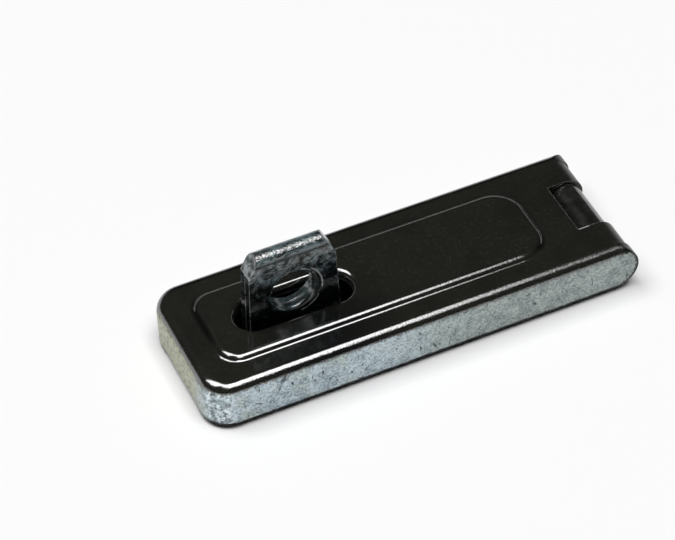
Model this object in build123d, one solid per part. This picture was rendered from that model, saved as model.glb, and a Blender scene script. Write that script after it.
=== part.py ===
from build123d import *
import math
import os

os.makedirs("parts", exist_ok=True)

# A chest hasp with concealed screws, closed. The long cover is pressed from one sheet and swings on a
# hidden pin at one end. The staple stands through its slot at the other end and takes the padlock.
# X runs along the cover from the staple to the hinge, Y runs across it and Z points up.
# The origin is on the chest's surface, under the middle of the cover.

# The cover, all sizes in millimetres
LENGTH = 102.0
WIDTH = 35.0
COVER_HEIGHT = 12.3
COVER_SHEET = 2.3
WALL_LIFT = 1.4
CORNER_RADIUS = 6.5
BEND_RADIUS = 2.7
RELIEF_WIDTH = 18.0
RELIEF_HEIGHT = 0.7

# The raised panel on the cover
PANEL_END_MARGIN = 6.45
PANEL_SIDE_MARGIN = 6.45
PANEL_TO_NOTCH = 7.75
PANEL_RISE = 1.0
PANEL_SLOPE_RUN = 1.0
PANEL_FREE_CORNER = 5.05
PANEL_HINGE_CORNER = 7.2
PANEL_CROWN_RADIUS = 1.6
PANEL_ROOT_RADIUS = 0.8
PANEL_INNER_RADIUS = 0.4

# The hinge
PIN_RADIUS = 2.4
PIN_PLAY = 0.05
PIN_END_GAP = 0.3
PIN_CHAMFER = 0.4
KNUCKLE_WRAP = 265.0
KNUCKLE_SIDE_GAP = 0.3
KNUCKLE_TO_BEND = 0.3
NOTCH_GAP = 0.35

# The fixed plate under the hinge end
PLATE_SHEET = 1.5
PLATE_WIDTH = 27.0
PLATE_CORNER = 3.0
PLATE_TO_STAPLE = 15.0
PLATE_BEND_RADIUS = 1.0
WEB_WIDTH = 14.0
WEB_WRAP = 250.0

# The staple
STAPLE_SETBACK = 26.5
STAPLE_SHEET = 2.1
STAPLE_SEAM = 0.2
STAPLE_FOLD_RADIUS = 1.0
EYE_FOOT_WIDTH = 21.8
EYE_SHOULDER_WIDTH = 20.2
EYE_RIDGE_WIDTH = 15.2
EYE_SHOULDER_DROP = 4.8
EYE_CORNER_RADIUS = 0.8
EYE_BORE_RADIUS = 5.1
EYE_BORE_DROP = 0.2
EYE_HEAD = 7.2
EYE_RIM_WIDTH = 1.5
EYE_RIM_DEPTH = 0.8
FOOT_LENGTH = 37.0
FOOT_CLEARANCE = 1.5
FOOT_CORNER = 4.0

# The slot in the cover
SLOT_SIDE_GAP = 2.35
SLOT_HINGE_GAP = 3.3
SLOT_SWING_GAP = 0.35
SLOT_RIM_ROUND = 1.4

# The screw holes
SCREW_HOLE_RADIUS = 2.2
SCREW_SINK_DEPTH = 1.2
SCREW_SINK_ANGLE = 90.0
STAPLE_SCREW_SPACING_X = 24.0
STAPLE_SCREW_SPACING_Y = 18.0
PLATE_SCREW_SPACING_Y = 18.0
PLATE_SCREW_FREE_MARGIN = 8.0
PLATE_SCREW_WEB_MARGIN = 12.0

# How far a cutting tool reaches past what it cuts
CUT_MARGIN = 5.0
# How closely an edge is matched when it is picked for a fillet
PICK_TOLERANCE = 0.01

# Sizes worked out from the ones above
HINGE_END_X = LENGTH / 2
FREE_END_X = -LENGTH / 2
BORE_RADIUS = PIN_RADIUS + PIN_PLAY
COVER_KNUCKLE_RADIUS = BORE_RADIUS + COVER_SHEET
PLATE_KNUCKLE_RADIUS = BORE_RADIUS + PLATE_SHEET
WALL_END_RADIUS = (COVER_HEIGHT - WALL_LIFT) / 2
PIN_X = HINGE_END_X - WALL_END_RADIUS
PIN_Z = COVER_HEIGHT - COVER_KNUCKLE_RADIUS
INNER_HALF_WIDTH = WIDTH / 2 - COVER_SHEET
KNUCKLE_OUTER_Y = WIDTH / 2 - BEND_RADIUS - KNUCKLE_TO_BEND
NOTCH_X = PIN_X - PLATE_KNUCKLE_RADIUS - NOTCH_GAP
NOTCH_HALF_WIDTH = WEB_WIDTH / 2 + KNUCKLE_SIDE_GAP
CROWN_Z = COVER_HEIGHT + PANEL_RISE

PANEL_FREE_X = FREE_END_X + PANEL_END_MARGIN
PANEL_HINGE_X = NOTCH_X - PANEL_TO_NOTCH
PANEL_HALF_WIDTH = WIDTH / 2 - PANEL_SIDE_MARGIN
PANEL_SLOPE = math.atan2(PANEL_RISE, PANEL_SLOPE_RUN)

STAPLE_X = FREE_END_X + STAPLE_SETBACK
STAPLE_HALF_THICKNESS = STAPLE_SHEET + STAPLE_SEAM / 2
EYE_BORE_Z = CROWN_Z - EYE_BORE_DROP + EYE_BORE_RADIUS
STAPLE_TOP_Z = EYE_BORE_Z + EYE_BORE_RADIUS + EYE_HEAD
EYE_SHOULDER_Z = STAPLE_TOP_Z - EYE_SHOULDER_DROP
FOOT_HALF_WIDTH = INNER_HALF_WIDTH - FOOT_CLEARANCE
FOOT_INNER_Y = STAPLE_HALF_THICKNESS + STAPLE_FOLD_RADIUS

PLATE_FREE_X = STAPLE_X + FOOT_LENGTH / 2 + PLATE_TO_STAPLE
WEB_OUTER_X = PIN_X + PLATE_KNUCKLE_RADIUS
PLATE_HINGE_X = WEB_OUTER_X - PLATE_SHEET - PLATE_BEND_RADIUS


def ring_sector(inner_radius, start_angle, sweep_angle, sheet):
    """Section of a bend or roll in a sheet: a stretch of a ring about the bend's centre."""
    inner_arc = CenterArc((0, 0), inner_radius, start_angle, sweep_angle)
    outer_arc = CenterArc((0, 0), inner_radius + sheet, start_angle, sweep_angle)
    ends = [Line(inner_arc @ end, outer_arc @ end) for end in (0, 1)]
    return make_face([inner_arc, outer_arc, *ends])


def rectangle_between(low, high):
    """Rectangle from its low corner to its high corner, in the sketch's own plane."""
    size_x = high[0] - low[0]
    size_y = high[1] - low[1]
    return Pos((low[0] + high[0]) / 2, (low[1] + high[1]) / 2) * Rectangle(size_x, size_y)


def box_between(low, high):
    """Box from its low corner to its high corner."""
    size = [top - bottom for bottom, top in zip(low, high)]
    middle = [(top + bottom) / 2 for bottom, top in zip(low, high)]
    return Pos(*middle) * Box(*size)


def across(sketch, low_y, high_y):
    """Side view, drawn with x along X and y along Z, extruded from low_y to high_y."""
    return Pos(0, high_y, 0) * extrude(Plane.XZ * sketch, amount=high_y - low_y)


def screw_holes(sheet, centre_x, spacing_x, spacing_y):
    """Four countersunk holes on a rectangle, as tools that cut a sheet lying on the chest."""
    hole = CounterSinkHole(
        radius=SCREW_HOLE_RADIUS,
        counter_sink_radius=SCREW_HOLE_RADIUS + SCREW_SINK_DEPTH * math.tan(math.radians(SCREW_SINK_ANGLE / 2)),
        depth=sheet + CUT_MARGIN,
        counter_sink_angle=SCREW_SINK_ANGLE,
    )
    places = GridLocations(spacing_x, spacing_y, 2, 2)
    return [Pos(centre_x, 0, sheet) * place * hole for place in places]


def panel_outline(inset):
    """Plan of the raised panel, inset from its root. The corners at the hinge end are the rounder ones."""
    outline = rectangle_between(
        (PANEL_FREE_X + inset, inset - PANEL_HALF_WIDTH),
        (PANEL_HINGE_X - inset, PANEL_HALF_WIDTH - inset),
    )
    ends = outline.vertices().group_by(Axis.X)
    outline = fillet(ends[0], PANEL_FREE_CORNER - inset)
    ends = outline.vertices().group_by(Axis.X)
    return fillet(ends[-1], PANEL_HINGE_CORNER - inset)


def pressed_form(inset):
    """The cover as a solid block. Inset by the sheet it is the space inside, at one thickness all over."""
    top = COVER_HEIGHT - inset
    half_width = WIDTH / 2 - inset
    plan = rectangle_between((FREE_END_X + inset, -half_width), (HINGE_END_X + inset, half_width))
    plan = fillet(plan.vertices().group_by(Axis.X)[0], CORNER_RADIUS - inset)
    block = extrude(plan, amount=top)
    top_edges = block.faces().sort_by(Axis.Z)[-1].edges().sort_by(Axis.X)
    block = fillet(top_edges[:-1], BEND_RADIUS - inset)

    root_inset = inset * math.tan(PANEL_SLOPE / 2)
    root = Pos(0, 0, top) * panel_outline(root_inset)
    crown = Pos(0, 0, top + PANEL_RISE) * panel_outline(root_inset + PANEL_SLOPE_RUN)
    panel = loft([root, crown], ruled=True)
    crown_radius = max(PANEL_CROWN_RADIUS - inset, PANEL_INNER_RADIUS)
    panel = fillet(panel.faces().sort_by(Axis.Z)[-1].edges(), crown_radius)
    form = block + panel
    root_edges = form.edges().filter_by_position(Axis.Z, top - PICK_TOLERANCE, top + PICK_TOLERANCE)
    root_edges = root_edges.filter_by_position(Axis.X, PANEL_FREE_X, PANEL_HINGE_X)
    root_edges = root_edges.filter_by_position(Axis.Y, -PANEL_HALF_WIDTH, PANEL_HALF_WIDTH)
    return fillet(root_edges, PANEL_ROOT_RADIUS + inset)


def wall_outline():
    """Side view of the walls. Their hinge end is round, so that it clears the chest as the cover swings."""
    end_arc = CenterArc((PIN_X, WALL_LIFT + WALL_END_RADIUS), WALL_END_RADIUS, -90, 180)
    above = CROWN_Z + CUT_MARGIN
    rest = Polyline(
        end_arc @ 1,
        (PIN_X, above),
        (FREE_END_X, above),
        (FREE_END_X, WALL_LIFT),
        end_arc @ 0,
    )
    return make_face([end_arc, *rest.edges()])


def slot_free_end():
    """X of the slot's free end, where the swinging cover passes the staple's free edge with a gap."""
    staple_edge = [
        (STAPLE_X - EYE_FOOT_WIDTH / 2, CROWN_Z),
        (STAPLE_X - EYE_SHOULDER_WIDTH / 2, EYE_SHOULDER_Z),
        (STAPLE_X - EYE_RIDGE_WIDTH / 2, STAPLE_TOP_Z),
    ]
    reach = max(math.hypot(PIN_X - x, z - PIN_Z) for x, z in staple_edge)
    end_radius = STAPLE_HALF_THICKNESS + SLOT_SIDE_GAP
    end_inset = end_radius - math.sqrt(end_radius**2 - STAPLE_HALF_THICKNESS**2)
    return PIN_X - reach - SLOT_SWING_GAP - end_inset


def hasp_cover():
    """The cover: one pressed sheet with its panel, walls, slot, notch and two rolled knuckles."""
    cover = pressed_form(0) - pressed_form(COVER_SHEET)
    cover &= across(wall_outline(), -WIDTH, WIDTH)

    # The flat top stops over the pin, where the knuckles take over.
    above = CROWN_Z + CUT_MARGIN
    past_hinge = HINGE_END_X + CUT_MARGIN
    cover -= box_between((PIN_X, -KNUCKLE_OUTER_Y, 0), (past_hinge, KNUCKLE_OUTER_Y, above))
    cover -= box_between((NOTCH_X, -NOTCH_HALF_WIDTH, 0), (past_hinge, NOTCH_HALF_WIDTH, above))
    roll = Pos(PIN_X, PIN_Z) * ring_sector(BORE_RADIUS, 90, -KNUCKLE_WRAP, COVER_SHEET)
    for low_y, high_y in ((-KNUCKLE_OUTER_Y, -NOTCH_HALF_WIDTH), (NOTCH_HALF_WIDTH, KNUCKLE_OUTER_Y)):
        cover += across(roll, low_y, high_y)

    # The end wall's lower edge is relieved between its corners.
    cover -= box_between(
        (FREE_END_X - CUT_MARGIN, -RELIEF_WIDTH / 2, 0),
        (FREE_END_X + COVER_SHEET, RELIEF_WIDTH / 2, WALL_LIFT + RELIEF_HEIGHT),
    )

    # The slot, with its upper edge rounded down into it.
    low_x = slot_free_end()
    high_x = STAPLE_X + EYE_FOOT_WIDTH / 2 + SLOT_HINGE_GAP
    half_width = STAPLE_HALF_THICKNESS + SLOT_SIDE_GAP
    slot = Pos((low_x + high_x) / 2, 0, 0) * SlotOverall(high_x - low_x, 2 * half_width)
    cover -= extrude(slot, amount=above)
    rim = cover.edges().filter_by_position(Axis.Z, CROWN_Z - PICK_TOLERANCE, CROWN_Z + PICK_TOLERANCE)
    rim = rim.filter_by_position(Axis.X, low_x, high_x)
    rim = rim.filter_by_position(Axis.Y, -half_width - PICK_TOLERANCE, half_width + PICK_TOLERANCE)
    return fillet(rim, SLOT_RIM_ROUND)


def hinge_plate():
    """The fixed plate, with its web rolled over the pin as the hinge's centre knuckle."""
    plan = rectangle_between((PLATE_FREE_X, -PLATE_WIDTH / 2), (PLATE_HINGE_X, PLATE_WIDTH / 2))
    plan = fillet(plan.vertices().group_by(Axis.X)[0], PLATE_CORNER)
    plate = extrude(plan, amount=PLATE_SHEET)

    bend_z = PLATE_SHEET + PLATE_BEND_RADIUS
    bend = Pos(PLATE_HINGE_X, bend_z) * ring_sector(PLATE_BEND_RADIUS, -90, 90, PLATE_SHEET)
    upright = rectangle_between((WEB_OUTER_X - PLATE_SHEET, bend_z), (WEB_OUTER_X, PIN_Z))
    roll = Pos(PIN_X, PIN_Z) * ring_sector(BORE_RADIUS, 0, WEB_WRAP, PLATE_SHEET)
    plate += across(bend + upright + roll, -WEB_WIDTH / 2, WEB_WIDTH / 2)

    first_x = PLATE_FREE_X + PLATE_SCREW_FREE_MARGIN
    last_x = WEB_OUTER_X - PLATE_SCREW_WEB_MARGIN
    plate -= screw_holes(PLATE_SHEET, (first_x + last_x) / 2, last_x - first_x, PLATE_SCREW_SPACING_Y)
    return plate


def hinge_pin():
    """The plain pin, hidden between the side walls."""
    pin = Cylinder(PIN_RADIUS, 2 * (INNER_HALF_WIDTH - PIN_END_GAP), rotation=(90, 0, 0))
    pin = chamfer(pin.edges().filter_by(GeomType.CIRCLE), PIN_CHAMFER)
    return Pos(PIN_X, 0, PIN_Z) * pin


def eye_outline():
    """Side view of the staple's eye: slightly tapered, with its upper corners cut off."""
    half_outline = [
        (EYE_FOOT_WIDTH / 2, 0),
        (EYE_SHOULDER_WIDTH / 2, EYE_SHOULDER_Z),
        (EYE_RIDGE_WIDTH / 2, STAPLE_TOP_Z),
    ]
    mirrored = [(-x, z) for x, z in reversed(half_outline)]
    outline = make_face(Polyline(*half_outline, *mirrored, close=True))
    corners = outline.vertices().filter_by_position(Axis.Y, EYE_SHOULDER_Z, STAPLE_TOP_Z)
    return fillet(corners, EYE_CORNER_RADIUS)


def eye_bore():
    """Tool that cuts the eye's bore about the Y axis. Both rims are rolled over, wider than they are deep."""
    rim_radius = EYE_BORE_RADIUS + EYE_RIM_WIDTH
    rim_y = STAPLE_HALF_THICKNESS - EYE_RIM_DEPTH
    bore = rectangle_between((0, 0), (EYE_BORE_RADIUS, rim_y))
    mouth = rectangle_between((0, rim_y), (rim_radius, STAPLE_HALF_THICKNESS + CUT_MARGIN))
    mouth -= Pos(rim_radius, rim_y) * Ellipse(EYE_RIM_WIDTH, EYE_RIM_DEPTH)
    half = revolve(bore + mouth, Axis.Y)
    return half + mirror(half, Plane.XZ)


def hasp_staple():
    """The staple: one strip folded double over the eye, with its ends bent out as feet."""
    ridge_z = STAPLE_TOP_Z - STAPLE_HALF_THICKNESS
    bend_z = STAPLE_SHEET + STAPLE_FOLD_RADIUS
    fold = Pos(0, ridge_z) * ring_sector(STAPLE_SEAM / 2, 0, 90, STAPLE_SHEET)
    leg = rectangle_between((STAPLE_SEAM / 2, bend_z), (STAPLE_HALF_THICKNESS, ridge_z))
    bend = Pos(FOOT_INNER_Y, bend_z) * ring_sector(STAPLE_FOLD_RADIUS, 180, 90, STAPLE_SHEET)
    strip = extrude(Plane.YZ * (fold + leg + bend), amount=EYE_FOOT_WIDTH / 2, both=True)
    strip &= across(eye_outline(), -WIDTH, WIDTH)

    foot_plan = rectangle_between((-FOOT_LENGTH / 2, FOOT_INNER_Y), (FOOT_LENGTH / 2, FOOT_HALF_WIDTH))
    foot_plan = fillet(foot_plan.vertices().group_by(Axis.Y)[-1], FOOT_CORNER)
    half = strip + extrude(foot_plan, amount=STAPLE_SHEET)
    staple = half + mirror(half, Plane.XZ)
    staple -= screw_holes(STAPLE_SHEET, 0, STAPLE_SCREW_SPACING_X, STAPLE_SCREW_SPACING_Y)
    staple -= Pos(0, 0, EYE_BORE_Z) * eye_bore()
    return Pos(STAPLE_X, 0, 0) * staple


NODES = {
    "hasp_cover": hasp_cover,
    "hinge_plate": hinge_plate,
    "hinge_pin": hinge_pin,
    "hasp_staple": hasp_staple,
}

for name, make in NODES.items():
    export_step(make(), f"parts/{name}.step")
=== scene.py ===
# %% [markdown]
# # A chest hasp, closed over its staple
# The part is a padlock hasp: a long pressed cover that swings on a hidden pin, and a folded staple that stands
# through the cover's slot. Its solids are made elsewhere and come in as a fixed frame, in metres. This file gives
# them their finish, and sets up the light, the floor and the camera.
#
# The look of plated steel comes from three things together: what the surface reflects, how the plating changes
# from place to place, and the fine marks on it. Much of the dark is painted into the colour too, as painted
# reflection and painted shade, and a few bright lines are painted highlights. Each has cells of its own below.

# %% Load the frame
import math

import bpy
import numpy as np
from mathutils import Matrix, Vector


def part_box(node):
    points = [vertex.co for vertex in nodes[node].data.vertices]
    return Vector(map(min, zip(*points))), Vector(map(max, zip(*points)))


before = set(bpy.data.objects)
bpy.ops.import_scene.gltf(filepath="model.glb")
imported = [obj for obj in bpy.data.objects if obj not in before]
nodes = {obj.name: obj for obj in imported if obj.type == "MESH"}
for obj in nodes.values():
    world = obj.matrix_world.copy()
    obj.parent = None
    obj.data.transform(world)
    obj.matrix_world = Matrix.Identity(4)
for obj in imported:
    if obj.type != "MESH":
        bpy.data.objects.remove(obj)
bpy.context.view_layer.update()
MM = 0.001
print("nodes:", ", ".join(sorted(nodes)))

# %% [markdown]
# ## The camera
# A photograph of a box-like object tells where its camera stood: the long edges meet at one far point, the short
# edges at another, and the upright ones at a third. A camera could be turned by hand until the edges agree. Here
# its angles, distance and focal length were fitted to the edges first, so the numbers are simply set. The Standard
# view shows each colour as it is written, where the usual default would flatten the whites.

# %% Camera
IMAGE_WIDTH = 675
SENSOR_WIDTH = 36.0
FOCAL_PIXELS = 2905.3
CAMERA_AZIMUTH = math.radians(-22.86)
CAMERA_ELEVATION = math.radians(45.3)
CAMERA_ROLL = math.radians(-2.55)
CAMERA_DISTANCE = 648.26 * MM
CAMERA_TARGET = Vector((-6.59, 15.99, 0.0)) * MM


def camera_axes(azimuth, elevation, roll):
    """Right, up and backward axes of a camera. Backward comes from the angles, right is level, then both roll."""
    level = math.cos(elevation)
    backward = Vector((math.sin(azimuth) * level, -math.cos(azimuth) * level, math.sin(elevation)))
    right = (-backward).cross(Vector((0, 0, 1))).normalized()
    up = right.cross(-backward)
    rolled_right = right * math.cos(roll) + up * math.sin(roll)
    rolled_up = up * math.cos(roll) - right * math.sin(roll)
    return rolled_right, rolled_up, backward


right, up, backward = camera_axes(CAMERA_AZIMUTH, CAMERA_ELEVATION, CAMERA_ROLL)
camera = bpy.data.objects.new("photo_camera", bpy.data.cameras.new("photo_camera"))
camera.data.sensor_fit = "HORIZONTAL"
camera.data.sensor_width = SENSOR_WIDTH
camera.data.lens = SENSOR_WIDTH * FOCAL_PIXELS / IMAGE_WIDTH
turn = Matrix((right, up, backward)).transposed().to_4x4()
camera.matrix_world = Matrix.Translation(CAMERA_TARGET + backward * CAMERA_DISTANCE) @ turn
bpy.context.scene.collection.objects.link(camera)
bpy.context.scene.camera = camera
bpy.context.scene.view_settings.view_transform = "Standard"
print("lens in mm:", round(camera.data.lens, 1))

# %% [markdown]
# ## Short ways to write a finish
# A procedural material is a graph of small nodes. Wiring it by hand takes many lines, so this class holds a
# material while it is built and adds a node in one call. Each input is either a plain value or another node's
# output. Lengths are in millimetres, because that is how a maker thinks of a scratch or a bend.
#
# Most of the numbers in such a graph are shares from 0 to 1, which say how much of something is here. For them the
# product means "and", and the largest value means "or".

# %% A material under construction
# Near-black for grime, and for painted shade on the cover and below the staple's fold.
DIRT_AND_SHADE = (0.006, 0.007, 0.006)
SLANTS = ((0.9, 3.0), (-1.4, 47.0))
SCRATCH_SCALE = 0.35
SCRATCH_STRETCH = 0.12
SCRATCH_WIDTH = 0.012


class Finish:
    """A metal finish while it is built: its node tree, its shader and the place on the piece in millimetres."""

    def __init__(self, name, metallic=0.0, roughness=0.15, index=1.5):
        self.material = bpy.data.materials.new(name)
        self.material.use_nodes = True
        self.tree = self.material.node_tree
        self.shader = self.tree.nodes["Principled BSDF"]
        self.shader.inputs["Metallic"].default_value = metallic
        self.shader.inputs["Roughness"].default_value = roughness
        self.shader.inputs["IOR"].default_value = index
        metres = self.add("ShaderNodeTexCoord").outputs["Object"]
        scaled = self.add("ShaderNodeVectorMath", {0: metres, "Scale": 1 / MM}, operation="SCALE")
        self.place = scaled.outputs[0]
        parts = self.add("ShaderNodeSeparateXYZ", {0: self.place})
        self.x, self.y, self.z = parts.outputs

    def add(self, kind, inputs=None, **settings):
        """Adds a node, sets it up and feeds its inputs."""
        node = self.tree.nodes.new(kind)
        for name, value in settings.items():
            setattr(node, name, value)
        for key, value in (inputs or {}).items():
            if isinstance(value, bpy.types.NodeSocket):
                self.tree.links.new(value, node.inputs[key])
            else:
                node.inputs[key].default_value = value
        return node

    def use(self, name, value):
        """Feeds one of the shader's own inputs."""
        self.tree.links.new(value, self.shader.inputs[name])

    def calc(self, operation, first, second=0.0):
        """One step of arithmetic on numbers."""
        return self.add("ShaderNodeMath", {0: first, 1: second}, operation=operation).outputs[0]

    def join(self, operation, values):
        """The same step between all the values, from the last back to the first."""
        result = values[-1]
        for value in reversed(values[:-1]):
            result = self.calc(operation, value, result)
        return result

    def times(self, *values):
        """The product: an "and" of shares."""
        return self.join("MULTIPLY", values)

    def most(self, *values):
        """The largest value: an "or" of shares."""
        return self.join("MAXIMUM", values)

    def plus(self, first, second):
        """The sum of two numbers."""
        return self.calc("ADD", first, second)

    def minus(self, first, second):
        """The first number less the second. 1 less a share is its opposite."""
        return self.calc("SUBTRACT", first, second)

    def length(self, along, across):
        """Length of a slanting line: the square root of the sum of the squares of its two parts."""
        squares = self.plus(self.calc("POWER", along, 2.0), self.calc("POWER", across, 2.0))
        return self.calc("SQRT", squares)

    def ramp(self, value, start, end):
        """0 before start, 1 after end, and a smooth rise between them. Start may lie above end."""
        inputs = {"Value": value, "From Min": start, "From Max": end}
        return self.add("ShaderNodeMapRange", inputs, interpolation_type="SMOOTHSTEP").outputs[0]

    def band(self, value, middle, half_width):
        """1 where the value is the middle one, falling smoothly to 0 at half_width to either side."""
        off = self.calc("ABSOLUTE", self.minus(value, middle))
        return self.ramp(off, half_width, 0.0)

    def noise(self, grain, detail=2.0, stretch=(1.0, 1.0, 1.0), shift=0.0):
        """Cloudy noise from 0 to 1 whose patches are about grain millimetres across."""
        moved = self.add("ShaderNodeVectorMath", {0: self.place, 1: (shift, shift, shift)}, operation="ADD")
        drawn = self.add("ShaderNodeVectorMath", {0: moved.outputs[0], 1: stretch}, operation="MULTIPLY")
        inputs = {"Vector": drawn.outputs[0], "Scale": 1 / grain, "Detail": detail}
        return self.add("ShaderNodeTexNoise", inputs).outputs["Fac"]

    def patches(self, grain, start, end, **kind):
        """Patches of a share: the noise, with what lies below start brought to 0 and above end to 1."""
        return self.ramp(self.noise(grain, **kind), start, end)

    def wander(self, reach, grain, **kind):
        """Noise about 0. Added to a distance, it lets a border stray by up to half that reach to either side."""
        return self.times(self.minus(self.noise(grain, **kind), 0.5), reach)

    def dots(self, spacing, size, share):
        """Round specks: one in each cell of the spacing, kept in that share of the cells."""
        inputs = {"Vector": self.place, "Scale": 1 / spacing}
        cells = self.add("ShaderNodeTexVoronoi", inputs)
        near = self.ramp(cells.outputs["Distance"], size / spacing, 0.4 * size / spacing)
        pick = self.add("ShaderNodeSeparateColor", {0: cells.outputs["Color"]}).outputs[0]
        return self.times(near, self.calc("LESS_THAN", pick, share))

    def scratches(self):
        """Short thin scratches in two slants: where a long-grained noise passes one level, within a few patches."""
        found = 0.0
        for slant, shift in SLANTS:
            across = self.plus(self.times(self.x, slant), self.z)
            along = self.times(self.minus(self.x, self.times(self.z, slant)), SCRATCH_STRETCH)
            place = self.add("ShaderNodeCombineXYZ", {0: along, 1: self.y, 2: across})
            inputs = {"Vector": place.outputs[0], "Scale": SCRATCH_SCALE, "Detail": 1.0, "W": shift}
            level = self.add("ShaderNodeTexNoise", inputs, noise_dimensions="4D").outputs["Fac"]
            line = self.band(level, 0.5, SCRATCH_WIDTH)
            found = self.most(found, self.times(line, self.patches(4.0, 0.56, 0.62, detail=1.0, shift=shift)))
        return found

    def blend(self, share, first, second):
        """Mixes two colours by a share of the second. Each is a socket or plain red, green and blue."""
        colours = [(*c, 1.0) if isinstance(c, tuple) else c for c in (first, second)]
        inputs = {0: share, 6: colours[0], 7: colours[1]}
        return self.add("ShaderNodeMix", inputs, data_type="RGBA").outputs[2]

    def dirt_and_shade(self, share, colour, metal):
        """Colour and metal share where a near-black covers part of the surface: grime in some places and painted
        shade in others. Of all surfaces a near-black metal mirrors least, so it stands for both."""
        return self.blend(share, colour, DIRT_AND_SHADE), self.most(metal, share)

    def rounded_edges(self, radius):
        """Normal of the surface as if its sharp edges were rounded, and how far each point is on such an edge."""
        rounded = self.add("ShaderNodeBevel", {"Radius": radius * MM}, samples=6).outputs[0]
        true_normal = self.add("ShaderNodeNewGeometry").outputs["Normal"]
        dot = self.add("ShaderNodeVectorMath", {0: rounded, 1: true_normal}, operation="DOT_PRODUCT")
        return rounded, self.ramp(dot.outputs["Value"], 0.985, 0.85)

    def bump(self, height, distance, normal):
        """Raises the surface by height times distance, in millimetres, without changing the mesh."""
        inputs = {"Height": height, "Distance": distance * MM, "Strength": 1.0, "Normal": normal}
        self.use("Normal", self.add("ShaderNodeBump", inputs).outputs[0])


print("finish helper with", len([name for name in vars(Finish) if name[0] != "_"]), "tools")

# %% [markdown]
# ## Where the cover bends
# The plating looks different on the flat top, on the bends and on the walls, so the finish has to know where it
# is. A texture could be painted, but the cover is a simple form: its outline is a strip with rounded corners, and
# the distance from that outline says at once how far a point is from the bend. The same formula, twice, gives the
# raised panel. All of it is worked out in the material, so it stays sharp at any zoom and turns with the cover.

# %% Distances on the cover, in millimetres
cover_low, cover_high = (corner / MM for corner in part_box("hasp_cover"))
COVER_HALF_WIDTH = cover_high.y
COVER_CORNER = 6.5
PANEL_END_MARGIN = 6.45
PANEL_SIDE_MARGIN = 6.45
PANEL_HINGE_X = 33.5
PANEL_FREE_CORNER = 5.05
PANEL_HINGE_CORNER = 7.2


def corner_distance(finish, side, end, half_width, radius):
    """Distance outside a strip of that half width, whose end lies at x = end on one side (-1 or 1) and has
    rounded corners: the length of the outer part of the offset from the corner's centre, less the radius."""
    along = finish.minus(finish.times(finish.x, side), end * side - radius)
    across = finish.minus(finish.calc("ABSOLUTE", finish.y), half_width - radius)
    outside = finish.length(finish.most(along, 0.0), finish.most(across, 0.0))
    inside = finish.calc("MINIMUM", finish.most(along, across), 0.0)
    return finish.minus(finish.plus(outside, inside), radius)


def cover_edge(finish):
    """Distance from the cover's outline, below 0 within it."""
    return corner_distance(finish, -1, cover_low.x, COVER_HALF_WIDTH, COVER_CORNER)


def panel_edge(finish):
    """Distance from the panel's root, below 0 on the panel."""
    half_width = COVER_HALF_WIDTH - PANEL_SIDE_MARGIN
    free_end = corner_distance(finish, -1, cover_low.x + PANEL_END_MARGIN, half_width, PANEL_FREE_CORNER)
    hinge_end = corner_distance(finish, 1, PANEL_HINGE_X, half_width, PANEL_HINGE_CORNER)
    return finish.most(free_end, hinge_end)


print("cover in mm:", [round(value, 1) for value in cover_high - cover_low])

# %% [markdown]
# ## Zinc on the walls
# The walls show bright bluish zinc, clouded and pitted. That is a true metal, so its colour is the colour of what
# it reflects. It isn't even: towards the hinge it turns grey, the end wall is olive, and the near corner has been
# knocked about. Each of these is a colour blended in by a share that depends on the place, so nothing is painted
# by hand and the far side has the same plating.

# %% Zinc
ZINC = (0.50, 0.58, 0.62)
ZINC_GREEN = (0.47, 0.53, 0.50)
ZINC_DULL = (0.19, 0.24, 0.265)
ZINC_GREY = (0.37, 0.42, 0.405)
ZINC_DARK = (0.175, 0.205, 0.200)
ZINC_STAIN = (0.030, 0.036, 0.036)
ZINC_GLINT = (0.75, 0.84, 0.86)
OLIVE_LIGHT = (0.38, 0.39, 0.25)
OLIVE_DARK = (0.13, 0.135, 0.075)
GREY_FROM_X, GREY_FULL_X = -14.0, 16.0
OLIVE_DEPTH = 2.5
OLIVE_STRAY = 14.0


def clouded_zinc(finish):
    """Bluish zinc with green clouds and a dull grain, turning grey towards the hinge."""
    colour = finish.blend(finish.patches(7.0, 0.48, 0.66, detail=3.0), ZINC, ZINC_GREEN)
    hinge_end = finish.ramp(finish.x, GREY_FROM_X, GREY_FULL_X)
    colour = finish.blend(hinge_end, colour, ZINC_GREY)
    grain = finish.times(finish.patches(0.55, 0.40, 0.62, detail=5.0), 0.6)
    clouds = finish.times(finish.patches(2.2, 0.42, 0.62, detail=4.0, shift=23.0), 0.38)
    dull = finish.blend(hinge_end, ZINC_DULL, ZINC_DARK)
    return finish.blend(finish.plus(grain, clouds), colour, dull)


def olive_end(finish, colour):
    """The same with the olive film of the end wall, which gives way raggedly towards the near corner."""
    end_wall = finish.ramp(finish.x, cover_low.x + OLIVE_DEPTH, cover_low.x)
    stray = finish.times(finish.noise(2.5, detail=4.0, shift=71.0), OLIVE_STRAY)
    away = finish.ramp(finish.plus(finish.y, stray), -8.0, 2.0)
    olive = finish.blend(finish.patches(1.0, 0.45, 0.62, detail=5.0, shift=11.0), OLIVE_LIGHT, OLIVE_DARK)
    return finish.blend(finish.times(end_wall, away, 0.9), colour, olive)


def knocked_corner(finish, colour):
    """The same with the near corner's bright glints and dark knocks."""
    corner = finish.times(finish.ramp(finish.x, -44.0, -47.5), finish.ramp(finish.y, -12.5, -14.5))
    glints = finish.patches(1.1, 0.50, 0.58, detail=4.0, shift=97.0)
    knocks = finish.patches(0.9, 0.53, 0.58, detail=4.0, shift=83.0)
    colour = finish.blend(finish.times(corner, glints, 0.8), colour, ZINC_GLINT)
    return finish.blend(finish.times(corner, knocks, 0.6), colour, ZINC_STAIN)


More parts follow.
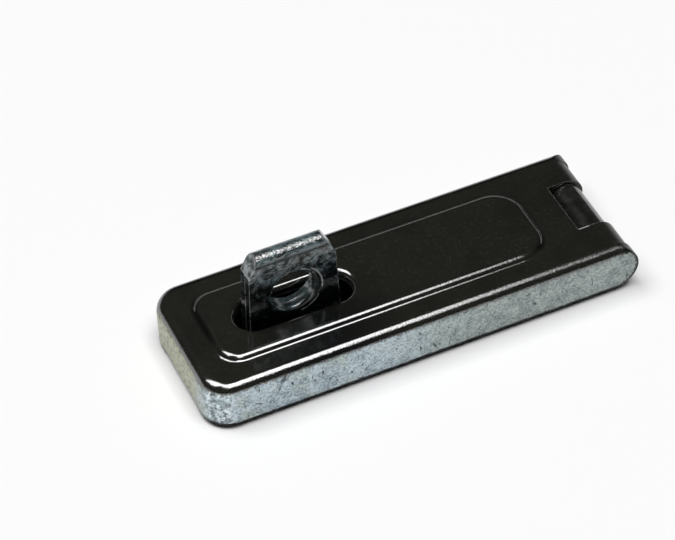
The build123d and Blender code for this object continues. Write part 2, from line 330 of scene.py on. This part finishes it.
def zinc_colour(finish):
    """The whole zinc: clouds, olive end and knocked corner, under dark pits, upright smears and fine scratches."""
    colour = knocked_corner(finish, olive_end(finish, clouded_zinc(finish)))
    pits = finish.most(finish.dots(0.7, 0.14, 0.55), finish.dots(2.1, 0.30, 0.40))
    smears = finish.patches(0.8, 0.66, 0.72, detail=3.0, stretch=(1.0, 1.0, 0.35), shift=5.0)
    marks = finish.most(pits, smears, finish.scratches())
    return finish.blend(finish.times(marks, 0.85), colour, ZINC_STAIN)


print("zinc turns grey from x =", GREY_FROM_X, "to", GREY_FULL_X)

# %% [markdown]
# ## The painted dark on top
# The flat top is nearly black with an olive cast, yet its highlights are pure white. The plating is zinc all over;
# the top looks black because it mirrors a dark room, and that dark is painted into its colour: painted reflection. A
# dark metal would tint the highlights, so the top is a glossy surface of high refractive index over a nearly black
# body.
# Fine specks keep it from looking like plastic, and a few grains of dust show how smooth it is.

# %% Painted dark top
FILM_INDEX = 2.6
PAINTED_TOP_OLIVE = (0.0130, 0.0138, 0.0100)
PAINTED_TOP_GREY = (0.0115, 0.0122, 0.0085)
PAINTED_TOP_BLACK = (0.0030, 0.0036, 0.0030)
TOP_SPECK = (0.0270, 0.0275, 0.0200)
DUST = (0.45, 0.45, 0.42)


def painted_top_colour(finish):
    """Painted near-black olive that stands for the dark room the top mirrors, a little deeper towards the hinge and
    blackest before the slot, with some dust.
    """
    colour = finish.blend(finish.ramp(finish.x, -30.0, 45.0), PAINTED_TOP_OLIVE, PAINTED_TOP_GREY)
    specks = finish.patches(0.55, 0.56, 0.72, detail=3.0, shift=53.0)
    colour = finish.blend(specks, colour, TOP_SPECK)
    clouds = finish.times(finish.patches(9.0, 0.4, 0.65, detail=5.0), 0.3)
    # Painted shade: the staple's dark reflection on the top before the slot.
    shade_before_slot = finish.times(finish.band(finish.x, -21.0, 24.0), finish.ramp(finish.y, -2.0, -8.0))
    colour = finish.blend(finish.most(clouds, shade_before_slot), colour, PAINTED_TOP_BLACK)
    dust = finish.dots(spacing=5.5, size=0.22, share=0.4)
    return finish.blend(finish.times(dust, 0.8), colour, DUST)


print("film mirrors", round(((FILM_INDEX - 1) / (FILM_INDEX + 1)) ** 2, 2), "of the light straight on")

# %% [markdown]
# ## Where the painted dark becomes zinc
# The painted dark ends where the bend becomes the wall, along a ragged line: there the real zinc turns from mirroring
# the dark room to mirroring the bright table. A straight line would look like masking tape, so noise of a coarse
# and a fine grain is added to the height before it is compared. The inside of the cover is zinc as well. The knuckles
# and the round rim of the walls at the hinge end keep the painted dark: painted shade.

# %% Border of painted dark and zinc
COVER_HEIGHT = 12.3
ZINC_DEPTH = 1.6
KNUCKLE_FROM_X = 41.0
KNUCKLE_SIDE_Y = 14.9
PIN_X = 45.55
WALL_END_Z = 6.85
WALL_END_RADIUS = 5.45


def knuckle_share(finish):
    """1 on the cover's knuckles, between its walls at the hinge end."""
    inward = finish.ramp(finish.calc("ABSOLUTE", finish.y), KNUCKLE_SIDE_Y, KNUCKLE_SIDE_Y - 0.4)
    return finish.times(finish.ramp(finish.x, KNUCKLE_FROM_X, KNUCKLE_FROM_X + 0.5), inward)


def rim_share(finish, stray):
    """1 on the round rim of the walls past the pin, where the distance from the rim's centre is nearly its radius.
    The rim keeps the painted dark there: painted shade.
    """
    along = finish.most(finish.minus(finish.x, PIN_X), 0.0)
    from_centre = finish.plus(finish.length(along, finish.minus(finish.z, WALL_END_Z)), stray)
    past_pin = finish.calc("GREATER_THAN", finish.x, PIN_X)
    return finish.times(finish.ramp(from_centre, WALL_END_RADIUS - 0.75, WALL_END_RADIUS - 0.45), past_pin)


def zinc_share(finish):
    """1 on the walls and inside the cover, and 0 on the top, the bends, the knuckles and the walls' round rim, where
    the painted dark shows.
    """
    stray = finish.plus(finish.wander(0.9, 2.0, detail=2.0, shift=9.0), finish.wander(1.7, 0.45, detail=5.0))
    border = COVER_HEIGHT - ZINC_DEPTH
    wall = finish.ramp(finish.plus(finish.z, stray), border, border - 0.15)
    under_top = finish.ramp(finish.z, COVER_HEIGHT - 0.8, COVER_HEIGHT - 1.0)
    inside = finish.times(under_top, finish.ramp(cover_edge(finish), -1.9, -2.1))
    # Painted shade: the knuckles and the round rim keep the painted dark of the top instead of zinc.
    dark = finish.most(knuckle_share(finish), rim_share(finish, stray))
    return finish.times(finish.most(wall, inside), finish.minus(1.0, dark))


print("zinc begins", ZINC_DEPTH, "mm below the cover's top")

# %% [markdown]
# ## Painted shade and a painted highlight
# The walls' lowest edge, the slope of the panel, the far bend and the hinge end are darkened: painted shade, under
# the walls where shade falls and elsewhere where the plating mirrors the dark room. Along part of the notch's near
# edge a bright line is painted: a painted highlight. Each place is a share of its own, so that each can be changed
# without touching the others.

# %% Places on the cover
WALL_LIFT = 1.4
BEND_RADIUS = 2.7
NOTCH_X = 41.25
NOTCH_HALF_WIDTH = 7.3


def painted_foot_shade(finish):
    """1 on the lowest edge of the walls, darkened as painted shade above the dark gap under them."""
    height = finish.plus(finish.z, finish.wander(0.5, 1.1, detail=3.0, shift=61.0))
    return finish.ramp(height, WALL_LIFT + 0.5, WALL_LIFT + 0.3)


def painted_slope_shade(finish):
    """A share along the panel's slope, on its far side and its hinge end, that darkens it: painted shade."""
    slope = finish.band(finish.plus(panel_edge(finish), 0.3), 0.0, 1.1)
    far_side = finish.ramp(finish.y, -6.0, 0.0)
    hinge_end = finish.times(finish.ramp(finish.x, PANEL_HINGE_X - 8.0, PANEL_HINGE_X - 4.0),
                             finish.ramp(finish.y, -10.5, -8.5))
    return finish.times(slope, finish.most(far_side, hinge_end), 0.6)


def painted_far_bend_shade(finish):
    """A patchy share on the far bend, all along it, that darkens it: painted shade."""
    start = COVER_HALF_WIDTH - BEND_RADIUS
    patchy = finish.plus(finish.times(finish.patches(3.0, 0.3, 0.6, detail=4.0, shift=19.0), 0.3), 0.6)
    return finish.times(finish.ramp(finish.y, start, start + 0.6), patchy)


def painted_hinge_end_shade(finish):
    """1 on the outer side of the knuckles and on the walls' round rim, where a darker metal is painted: painted
    shade. The same share roughens them.
    """
    return finish.ramp(finish.x, PIN_X + 0.6, PIN_X + 2.6)


def painted_notch_highlight(finish):
    """1 on a thin painted highlight along part of the notch's near edge."""
    line = finish.band(finish.y, -NOTCH_HALF_WIDTH - 0.05, 0.3)
    start = finish.ramp(finish.x, NOTCH_X, NOTCH_X + 0.4)
    end = finish.ramp(finish.x, NOTCH_X + 3.0, NOTCH_X + 2.2)
    return finish.times(line, finish.times(start, end))


print("far bend starts at y =", round(COVER_HALF_WIDTH - BEND_RADIUS, 1))

# %% [markdown]
# ## The cover's plating, put together
# One shader carries both the painted dark of the top and the zinc. It turns from the glossy painted dark to metal by
# its metal share, which also rises where an edge is rubbed through and where painted shade darkens the plating. The
# sharpest edges are rounded in the shading alone. A fine grain roughens walls and bends, so that the lamp's line
# breaks up on them, while the flat top stays nearly smooth.

# %% Cover plating
# Painted shade on the hinge end: a darker metal on the knuckles' outer side and the walls' round rim.
HINGE_END_SHADE = (0.045, 0.048, 0.040)
# Painted highlight along the notch's near edge.
NOTCH_HIGHLIGHT = (0.62, 0.63, 0.60)
# Rubbed steel on the edges, and the painted highlight round the staple's eye.
BARE_METAL_AND_HIGHLIGHT = (0.52, 0.54, 0.53)
WORN_EDGE = 0.8
COVER_EDGE_RADIUS = 0.22
FILM_ROUGHNESS = 0.125
ZINC_EXTRA_ROUGHNESS = 0.2
COVER_GRAIN = 0.045
FLAT_GRAIN_SHARE = 0.05


def cover_grain(finish, zinc):
    """Grain on the walls and bends, less of it on the panel's crown and hardly any on the flat. The far bend is left
    smooth."""
    bend = finish.times(finish.ramp(cover_edge(finish), -2.4, -0.6), finish.ramp(finish.y, 16.0, 14.0))
    crown = finish.times(finish.band(panel_edge(finish), -1.2, 1.6), 0.3)
    depth = finish.plus(finish.most(bend, zinc, crown), FLAT_GRAIN_SHARE)
    return finish.times(finish.noise(0.4, detail=3.0), depth)


def cover_plating():
    """Painted dark top, grained bends and clouded zinc walls, with painted shade and a painted highlight in places.
    """
    finish = Finish("cover_plating", index=FILM_INDEX)
    zinc = zinc_share(finish)
    rounded, edges = finish.rounded_edges(COVER_EDGE_RADIUS)
    off_panel = finish.ramp(panel_edge(finish), 0.8, 1.2)
    rubbed = finish.times(off_panel, finish.patches(1.5, 0.42, 0.6, detail=3.0))
    brightened = finish.times(edges, rubbed, WORN_EDGE)
    hinge_shade = painted_hinge_end_shade(finish)
    colour = finish.blend(hinge_shade, painted_top_colour(finish), HINGE_END_SHADE)
    colour = finish.blend(painted_notch_highlight(finish), colour, NOTCH_HIGHLIGHT)
    colour = finish.blend(zinc, colour, zinc_colour(finish))
    far_bend = finish.times(painted_far_bend_shade(finish), finish.minus(1.0, zinc))
    darkened = finish.most(painted_foot_shade(finish), painted_slope_shade(finish), far_bend)
    colour, metal = finish.dirt_and_shade(darkened, colour, finish.most(zinc, brightened))
    finish.use("Base Color", finish.blend(brightened, colour, BARE_METAL_AND_HIGHLIGHT))
    finish.use("Metallic", finish.most(metal, hinge_shade))
    rough = finish.times(finish.most(zinc, hinge_shade), ZINC_EXTRA_ROUGHNESS)
    finish.use("Roughness", finish.plus(rough, FILM_ROUGHNESS))
    finish.bump(cover_grain(finish, zinc), COVER_GRAIN, rounded)
    return finish.material


print("cover roughness:", FILM_ROUGHNESS, "on film,", FILM_ROUGHNESS + ZINC_EXTRA_ROUGHNESS, "on zinc")

# %% [markdown]
# ## The staple's plating
# The staple has the same plating on thicker strip. It stands in the dark of the cover's top and mirrors it, so most
# of it looks blue-black, and that blue-black is painted into its colour: painted reflection. Its fold is rubbed clean
# and hammered, so the lamp breaks into sparks there, and a painted highlight runs round part of the eye. It has grime
# in patches and pits, it is darker towards the bottom, and a band of painted shade lies below the fold. Distances
# from the bore's axis and from the top say where all this is.

# %% Staple plating
STRIP = (0.092, 0.140, 0.152)
STRIP_DARK = (0.006, 0.010, 0.011)
STRIP_ROUGHNESS = 0.16
STAPLE_EDGE_RADIUS = 0.4
STAPLE_GRAIN = 0.05
FOLD_EXTRA_GRAIN = 1.8
STAPLE_X = -24.5
STAPLE_TOP_Z = 30.5
STAPLE_CLEAN_Z = 27.0
STAPLE_DIRTY_Z = 16.0
EYE_BORE_Z = 18.2
EYE_BORE_RADIUS = 5.1
EYE_RIM_RADIUS = 6.6


def staple_dirt_and_shade(finish, brightened, from_bore):
    """Grime in patches and pits, with the patches growing towards the bottom so that it is darker there, and painted
    shade in a band below the fold. The fold, the bore, the rubbed edges and the painted highlight stay nearly clean."""
    lower = finish.times(finish.ramp(finish.z, STAPLE_CLEAN_Z, STAPLE_DIRTY_Z), 0.22)
    patches = finish.ramp(finish.plus(finish.noise(1.5, detail=5.0, shift=31.0), lower), 0.42, 0.66)
    pits = finish.dots(spacing=0.8, size=0.2, share=0.35)
    # Painted shade: a dark band below the fold's highlight.
    shade_below_fold = finish.band(finish.z, STAPLE_TOP_Z - 2.0, 1.1)
    darkened = finish.times(finish.most(patches, pits, shade_below_fold), finish.ramp(brightened, 0.6, 0.2))
    fold = finish.ramp(finish.z, STAPLE_TOP_Z - 1.3, STAPLE_TOP_Z - 0.8)
    bore = finish.ramp(from_bore, EYE_BORE_RADIUS + 1.0, EYE_BORE_RADIUS)
    clean = finish.times(finish.most(fold, bore), 0.7)
    return finish.times(darkened, finish.minus(1.0, clean), 0.85)


def painted_eye_rim_highlight(finish, from_bore):
    """A broken painted highlight round the hinge side of the eye's recess."""
    line = finish.times(finish.band(from_bore, EYE_RIM_RADIUS, 0.35),
                        finish.patches(1.6, 0.42, 0.56, detail=3.0, shift=43.0))
    return finish.times(line, finish.ramp(finish.x, STAPLE_X, STAPLE_X + 3.0))


def staple_plating():
    """Painted blue-black clouded strip with rubbed edges, a painted highlight round the eye and a hammered fold."""
    finish = Finish("staple_plating", roughness=STRIP_ROUGHNESS, index=FILM_INDEX)
    rounded, edges = finish.rounded_edges(STAPLE_EDGE_RADIUS)
    colour = finish.blend(finish.patches(2.6, 0.36, 0.60, detail=4.0), STRIP_DARK, STRIP)
    from_bore = finish.length(finish.minus(finish.x, STAPLE_X), finish.minus(finish.z, EYE_BORE_Z))
    bare_edge = finish.times(edges, finish.patches(0.9, 0.40, 0.52, detail=3.0))
    brightened = finish.most(bare_edge, painted_eye_rim_highlight(finish, from_bore))
    darkened = staple_dirt_and_shade(finish, brightened, from_bore)
    colour, metal = finish.dirt_and_shade(darkened, colour, finish.times(brightened, 0.4))
    finish.use("Base Color", finish.blend(brightened, colour, BARE_METAL_AND_HIGHLIGHT))
    finish.use("Metallic", metal)
    fold = finish.ramp(finish.z, STAPLE_TOP_Z - 2.2, STAPLE_TOP_Z - 1.6)
    depth = finish.plus(finish.times(fold, FOLD_EXTRA_GRAIN), 1.0)
    finish.bump(finish.times(finish.noise(0.5, detail=3.0), depth), STAPLE_GRAIN, rounded)
    return finish.material


print("eye's bore in mm:", 2 * EYE_BORE_RADIUS)

# %% [markdown]
# ## The hinge plate and the pin
# The plate shows only its knuckle while the cover is closed, and the pin nothing at all. Both come into view when
# the cover swings open, so each gets a finish of its own: dull plating with its near-black painted, like the
# cover's top, and plain drawn steel with faint lines along its length. A noise that is stretched along one axis
# makes such lines.

# %% Plate and pin
PLATE = (0.022, 0.023, 0.020)
PLATE_DARK = (0.010, 0.011, 0.009)
PLATE_EDGE_RADIUS = 0.2
PLATE_GRAIN = 0.01
PIN = (0.42, 0.43, 0.44)
PIN_DULL = (0.26, 0.27, 0.28)
PIN_ROUGHNESS = 0.35
PIN_EDGE_RADIUS = 0.15
PIN_GRAIN = 0.004


def plate_plating():
    """Dull plating with its dark painted like the cover's top, grime in patches, and rubbed bright on its edges."""
    finish = Finish("plate_plating", roughness=STRIP_ROUGHNESS, index=FILM_INDEX)
    rounded, edges = finish.rounded_edges(PLATE_EDGE_RADIUS)
    brightened = finish.times(edges, finish.patches(1.5, 0.42, 0.6, detail=3.0))
    colour = finish.blend(finish.patches(3.0, 0.4, 0.6, detail=4.0), PLATE, PLATE_DARK)
    darkened = finish.plus(finish.times(finish.patches(1.6, 0.35, 0.65, detail=4.0, shift=13.0), 0.3), 0.05)
    colour, metal = finish.dirt_and_shade(darkened, colour, brightened)
    finish.use("Base Color", finish.blend(brightened, colour, BARE_METAL_AND_HIGHLIGHT))
    finish.use("Metallic", metal)
    finish.bump(finish.noise(0.4, detail=2.0), PLATE_GRAIN, rounded)
    return finish.material


def pin_steel():
    """Plain drawn steel with faint lines along the draw."""
    finish = Finish("pin_steel", metallic=1.0, roughness=PIN_ROUGHNESS)
    rounded, edges = finish.rounded_edges(PIN_EDGE_RADIUS)
    lines = finish.noise(0.5, stretch=(1.0, 0.05, 1.0))
    colour = finish.blend(lines, PIN, PIN_DULL)
    finish.use("Base Color", finish.blend(finish.times(edges, 0.5), colour, BARE_METAL_AND_HIGHLIGHT))
    finish.bump(lines, PIN_GRAIN, rounded)
    return finish.material


print("pin roughness:", PIN_ROUGHNESS)

# %% [markdown] ## The finishes go on The pieces keep their own meshes.

# %% Finish the pieces
FINISHES = {
    "hasp_cover": (cover_plating, "cover_plating"),
    "hinge_plate": (plate_plating, "plate_plating"),
    "hinge_pin": (pin_steel, "pin_steel"),
    "hasp_staple": (staple_plating, "staple_plating"),
}
for name, (make, slot) in FINISHES.items():
    piece = nodes[name]
    piece.data.materials.clear()
    piece.data.materials.append(make())
    print(name, "has", len(piece.active_material.node_tree.nodes), "nodes in its finish")

# %% [markdown]
# ## The floor
# The hasp lies on a white table that fills the picture. A plain plane would end in a hard horizon when the camera
# goes low, so the floor is a wide dish: flat under the part, then rising gently all round, so that white lies
# behind the part from every side.

# %% Floor
FLOOR_FLAT = 2.2
FLOOR_REACH = 3.4
FLOOR_RISE = 0.36
FLOOR_DROP = 0.00005
FLOOR_WHITE = (0.96, 0.96, 0.96, 1.0)
FLOOR_ROUGHNESS = 0.8


def dish(rings, spokes):
    """Surface of revolution. Its height is half a cosine wave of the radius, past the flat middle."""
    radius = np.linspace(0.0, FLOOR_REACH, rings + 1)[1:]
    climb = np.clip((radius - FLOOR_FLAT) / (FLOOR_REACH - FLOOR_FLAT), 0.0, 1.0)
    height = FLOOR_RISE * (1.0 - np.cos(math.pi * climb)) / 2
    angle = np.linspace(0.0, 2 * math.pi, spokes, endpoint=False)
    x = radius[:, None] * np.cos(angle)
    y = radius[:, None] * np.sin(angle)
    z = np.broadcast_to(height[:, None], x.shape)
    points = np.concatenate([np.zeros((1, 3)), np.stack([x, y, z], axis=-1).reshape(-1, 3)])
    points[:, 2] -= FLOOR_DROP
    spoke = np.arange(spokes)
    after = (spoke + 1) % spokes
    fan = np.stack([np.zeros(spokes, int), 1 + spoke, 1 + after], axis=-1)
    ring = 1 + spokes * np.arange(rings - 1)[:, None]
    quads = np.stack([ring + spoke, ring + spokes + spoke, ring + spokes + after, ring + after], axis=-1)
    mesh = bpy.data.meshes.new("floor")
    mesh.from_pydata(points.tolist(), [], fan.tolist() + quads.reshape(-1, 4).tolist())
    mesh.shade_smooth()
    return mesh


floor = bpy.data.objects.new("floor", dish(rings=48, spokes=96))
bpy.context.scene.collection.objects.link(floor)
floor_paint = bpy.data.materials.new("floor_paint")
floor_paint.use_nodes = True
floor_shader = floor_paint.node_tree.nodes["Principled BSDF"]
floor_shader.inputs["Base Color"].default_value = FLOOR_WHITE
floor_shader.inputs["Roughness"].default_value = FLOOR_ROUGHNESS
floor.data.materials.append(floor_paint)
print("floor faces:", len(floor.data.polygons))

# %% [markdown]
# ## The light
# Metal shows its lamps. On the real hasp every white line lies where the surface mirrors one broad patch of light
# that hangs almost overhead, a little to the free end's side, and everything else mirrors a dark room. The patch
# isn't a plain rectangle, so two wide soft lamps side by side stand for it: one over the far half, as a window or a
# panel would hang, and one over the near half, which draws the line along the near bend. The world is dim. Each
# lamp is given by the light it sends to the floor, so that lamps and room together can be set to show a colour
# about as it is written: on a flat white surface that sum is about pi.

# %% Lamps and room
ROOM_LEVEL = 0.02
LAMP_DISTANCE = 6.0
world = bpy.data.worlds.new("room")
bpy.context.scene.world = world
world.use_nodes = True
room = world.node_tree.nodes["Background"]
room.inputs["Color"].default_value = (1.0, 1.0, 1.0, 1.0)
room.inputs["Strength"].default_value = ROOM_LEVEL


def lamp(name, direction, wide, deep, share):
    """A flat lamp that faces the part, with its width and depth as angles seen from there. Its watts come from the
    share of light that reaches the floor: share times pi times the square of the distance, over the cosine of its
    angle from overhead."""
    away = Vector(direction).normalized()
    data = bpy.data.lights.new(name, "AREA")
    data.shape = "RECTANGLE"
    data.size = 2 * LAMP_DISTANCE * math.tan(wide / 2)
    data.size_y = 2 * LAMP_DISTANCE * math.tan(deep / 2)
    data.energy = share * math.pi * LAMP_DISTANCE**2 / away.z
    side = Vector((0, 1, 0)).cross(away).normalized()
    facing = Matrix((side, away.cross(side), away)).transposed().to_4x4()
    made = bpy.data.objects.new(name, data)
    made.matrix_world = Matrix.Translation(away * LAMP_DISTANCE) @ facing
    bpy.context.scene.collection.objects.link(made)
    return share


shares = [
    lamp("window", direction=(-0.34, 0.22, 0.93), wide=0.56, deep=0.50, share=1.4),
    lamp("edge_lamp", direction=(0.045, -0.21, 0.97), wide=0.52, deep=0.54, share=2.0),
]
print("light on the floor:", round(sum(shares) + math.pi * ROOM_LEVEL, 2), "of", round(math.pi, 2))

# %% [markdown] ## End
